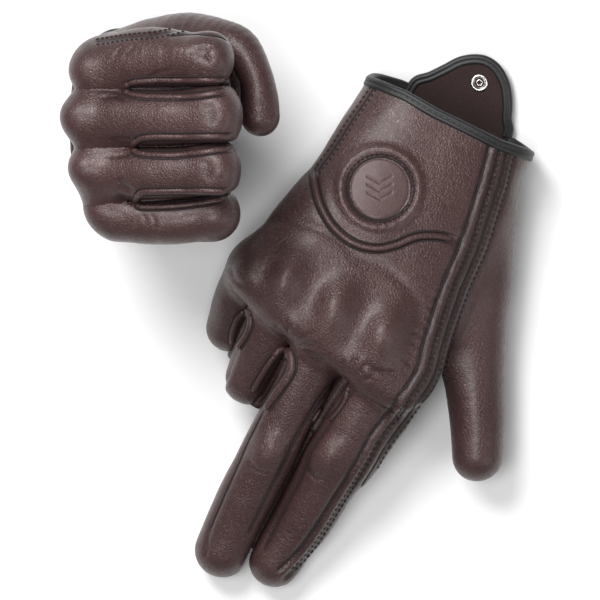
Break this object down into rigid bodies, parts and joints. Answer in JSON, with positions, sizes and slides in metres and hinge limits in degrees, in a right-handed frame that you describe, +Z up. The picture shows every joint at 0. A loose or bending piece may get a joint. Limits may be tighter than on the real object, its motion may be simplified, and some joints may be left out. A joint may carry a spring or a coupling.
{
  "type": "riding gloves",
  "caption": "Short-cuff leather riding gloves, right-hand shape, one with fingers stretched and one made into a fist, with moulded knuckles, piped seam, round patch and snap wrist tab.",
  "frame": {"origin": "centre of the pair's own footprint, on the surface it rests on", "axes": "+Z up, the pointing glove's fingers run along -Y and its thumb side is +X; the fist stands on its cuff"},
  "size_m": [0.2294, 0.2297, 0.1263],
  "materials": {
    "brown_leather": "semi-gloss dark brown goatskin with a fine grain",
    "suede_lining": "matte dark suede",
    "black_binding": "folded black tape, slightly glossy",
    "moulded_guard": "moulded foam-backed guard under the leather",
    "snap_metal": "plated brass snap"
  },
  "bodies": {
    "hands": {"pointing_cuff_panel": "brown_leather", "pointing_back_panel": "brown_leather", "pointing_side_strip": "brown_leather", "pointing_palm_panel": "brown_leather", "pointing_knuckle_guard": "moulded_guard", "pointing_seam_piping": "brown_leather", "pointing_badge_patch": "brown_leather", "pointing_cuff_binding": "black_binding", "pointing_snap_stud": "snap_metal", "fist_cuff_panel": "brown_leather", "fist_back_panel": "brown_leather", "fist_side_strip": "brown_leather", "fist_palm_panel": "brown_leather", "fist_knuckle_guard": "moulded_guard", "fist_seam_piping": "brown_leather", "fist_badge_patch": "brown_leather", "fist_cuff_binding": "black_binding", "fist_snap_stud": "snap_metal", "fist_index_stall": "brown_leather", "fist_index_knuckle_cap": "moulded_guard", "fist_index_fingertip": "brown_leather", "fist_middle_stall": "brown_leather", "fist_middle_knuckle_cap": "moulded_guard", "fist_middle_fingertip": "brown_leather"},
    "pointing_index": {"pointing_index_stall": "brown_leather", "pointing_index_knuckle_cap": "moulded_guard"},
    "pointing_index_end": {"pointing_index_fingertip": "brown_leather"},
    "pointing_middle": {"pointing_middle_stall": "brown_leather", "pointing_middle_knuckle_cap": "moulded_guard"},
    "pointing_middle_end": {"pointing_middle_fingertip": "brown_leather"},
    "pointing_ring": {"pointing_ring_stall": "brown_leather", "pointing_ring_knuckle_cap": "moulded_guard"},
    "pointing_ring_end": {"pointing_ring_fingertip": "brown_leather"},
    "pointing_pinky": {"pointing_pinky_stall": "brown_leather", "pointing_pinky_knuckle_cap": "moulded_guard"},
    "pointing_pinky_end": {"pointing_pinky_fingertip": "brown_leather"},
    "fist_ring": {"fist_ring_stall": "brown_leather", "fist_ring_knuckle_cap": "moulded_guard"},
    "fist_ring_end": {"fist_ring_fingertip": "brown_leather"},
    "fist_pinky": {"fist_pinky_stall": "brown_leather", "fist_pinky_knuckle_cap": "moulded_guard"},
    "fist_pinky_end": {"fist_pinky_fingertip": "brown_leather"},
    "pointing_thumb": {"pointing_thumb_stall": "brown_leather"},
    "fist_thumb": {"fist_thumb_stall": "brown_leather"},
    "pointing_tab": {"pointing_wrist_tab": "brown_leather", "pointing_tab_lining": "suede_lining", "pointing_tab_binding": "black_binding", "pointing_snap_ring": "snap_metal", "pointing_snap_socket": "snap_metal"},
    "fist_tab": {"fist_wrist_tab": "brown_leather", "fist_tab_lining": "suede_lining", "fist_tab_binding": "black_binding", "fist_snap_ring": "snap_metal", "fist_snap_socket": "snap_metal"}
  },
  "joints": [
    {"name": "pointing_index_knuckle", "type": "hinge", "parent": "hands", "child": "pointing_index", "pos_m": [0.0523, -0.00493, 0.03938], "axis": [1, 0, 0], "range_deg": [-26, 60]},
    {"name": "pointing_index_middle", "type": "hinge", "parent": "pointing_index", "child": "pointing_index_end", "pos_m": [0.05174, -0.05024, 0.0269], "axis": [1, 0, 0], "range_deg": [-3, 60]},
    {"name": "pointing_middle_knuckle", "type": "hinge", "parent": "hands", "child": "pointing_middle", "pos_m": [0.0308, -0.0057, 0.04065], "axis": [1, 0, 0], "range_deg": [-25, 60]},
    {"name": "pointing_middle_middle", "type": "hinge", "parent": "pointing_middle", "child": "pointing_middle_end", "pos_m": [0.03111, -0.05503, 0.02771], "axis": [1, 0, 0], "range_deg": [-4, 60]},
    {"name": "pointing_ring_knuckle", "type": "hinge", "parent": "hands", "child": "pointing_ring", "pos_m": [0.0097, -0.00199, 0.03875], "axis": [1, 0, 0], "range_deg": [-36, 0]},
    {"name": "pointing_ring_middle", "type": "hinge", "parent": "pointing_ring", "child": "pointing_ring_end", "pos_m": [0.01054, -0.0399, 0.02107], "axis": [1, 0, 0], "range_deg": [-110, 0]},
    {"name": "pointing_pinky_knuckle", "type": "hinge", "parent": "hands", "child": "pointing_pinky", "pos_m": [-0.009, 0.00335, 0.03477], "axis": [1, 0, 0], "range_deg": [-44, 0]},
    {"name": "pointing_pinky_middle", "type": "hinge", "parent": "pointing_pinky", "child": "pointing_pinky_end", "pos_m": [-0.0078, -0.02543, 0.0163], "axis": [1, 0, 0], "range_deg": [-108, 0]},
    {"name": "fist_ring_knuckle", "type": "hinge", "parent": "hands", "child": "fist_ring", "pos_m": [-0.073, 0.01787, 0.0923], "axis": [-0.3827, 0.9239, 0], "range_deg": [-66, 0]},
    {"name": "fist_ring_middle", "type": "hinge", "parent": "fist_ring", "child": "fist_ring_end", "pos_m": [-0.03645, 0.03396, 0.11008], "axis": [-0.3827, 0.9239, 0], "range_deg": [-100, 0]},
    {"name": "fist_pinky_knuckle", "type": "hinge", "parent": "hands", "child": "fist_pinky", "pos_m": [-0.05986, 0.00307, 0.0863], "axis": [-0.3827, 0.9239, 0], "range_deg": [-78, 0]},
    {"name": "fist_pinky_middle", "type": "hinge", "parent": "fist_pinky", "child": "fist_pinky_end", "pos_m": [-0.0284, 0.01744, 0.09365], "axis": [-0.3827, 0.9239, 0], "range_deg": [-96, 0]},
    {"name": "pointing_thumb_swing", "type": "hinge", "parent": "hands", "child": "pointing_thumb", "pos_m": [0.0903, 0.00978, 0.01527], "axis": [0, 0, 1], "range_deg": [-15, 20]},
    {"name": "fist_thumb_swing", "type": "hinge", "parent": "hands", "child": "fist_thumb", "pos_m": [-0.07612, 0.0865, 0.0623], "axis": [0, 0, 1], "range_deg": [0, 60]},
    {"name": "pointing_tab_fold", "type": "hinge", "parent": "hands", "child": "pointing_tab", "pos_m": [0.0458, 0.08528, -0.0009], "axis": [-1, 0, 0], "range_deg": [-12, 195]},
    {"name": "fist_tab_fold", "type": "hinge", "parent": "hands", "child": "fist_tab", "pos_m": [-0.06743, 0.05925, -0.0009], "axis": [0.3827, -0.9239, 0], "range_deg": [-195, 0]}
  ]
}
